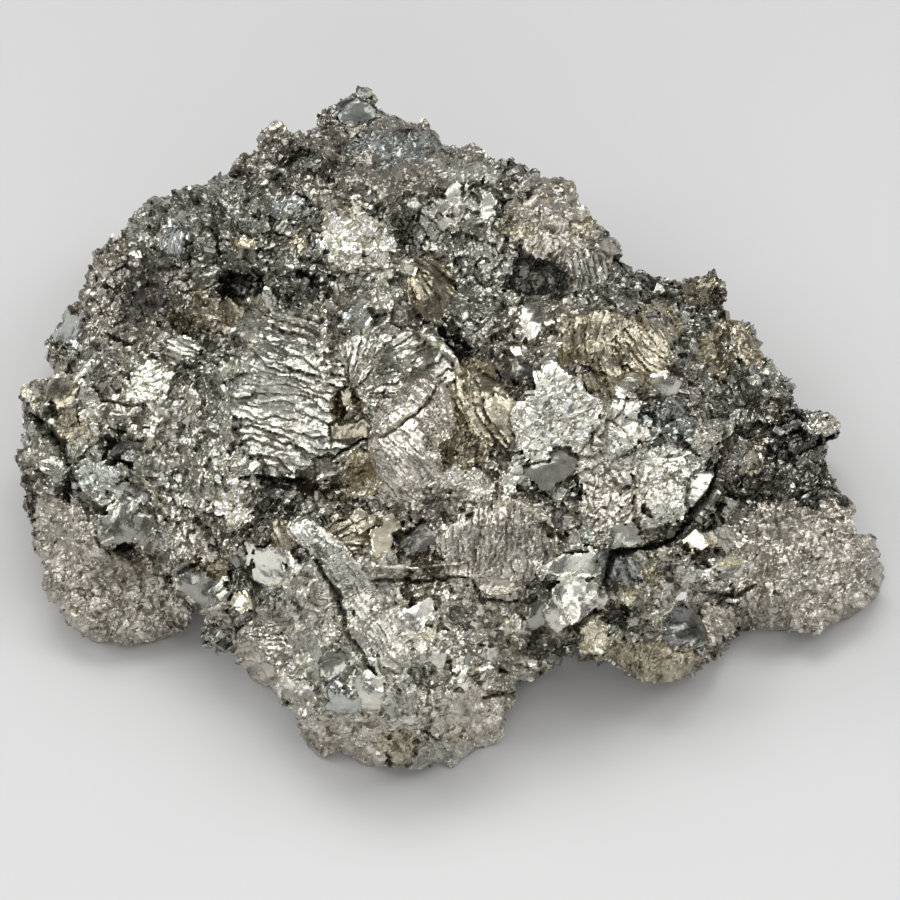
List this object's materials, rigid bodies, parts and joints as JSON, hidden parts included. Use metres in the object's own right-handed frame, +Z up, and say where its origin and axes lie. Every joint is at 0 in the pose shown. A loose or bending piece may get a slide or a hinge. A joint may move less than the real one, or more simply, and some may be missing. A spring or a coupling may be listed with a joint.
{
  "type": "hafnium metal piece",
  "caption": "Rough lump of silvery hafnium crystals grown together, with striated fans, flat facets and granular low ends, resting on a flat underside.",
  "frame": {"origin": "middle of the bounding box on X and Y, at the flat underside", "axes": "+X along the lump's longest way towards its low granular end, +Z up from the flat underside, -Y towards the side that shows the striated fans"},
  "size_m": [0.0306, 0.0266, 0.0097],
  "materials": {
    "hafnium": "bright crystalline metal, striated, faintly tarnished in warm and blue tints"
  },
  "bodies": {
    "root": {"hafnium_piece": "hafnium"}
  },
  "joints": []
}
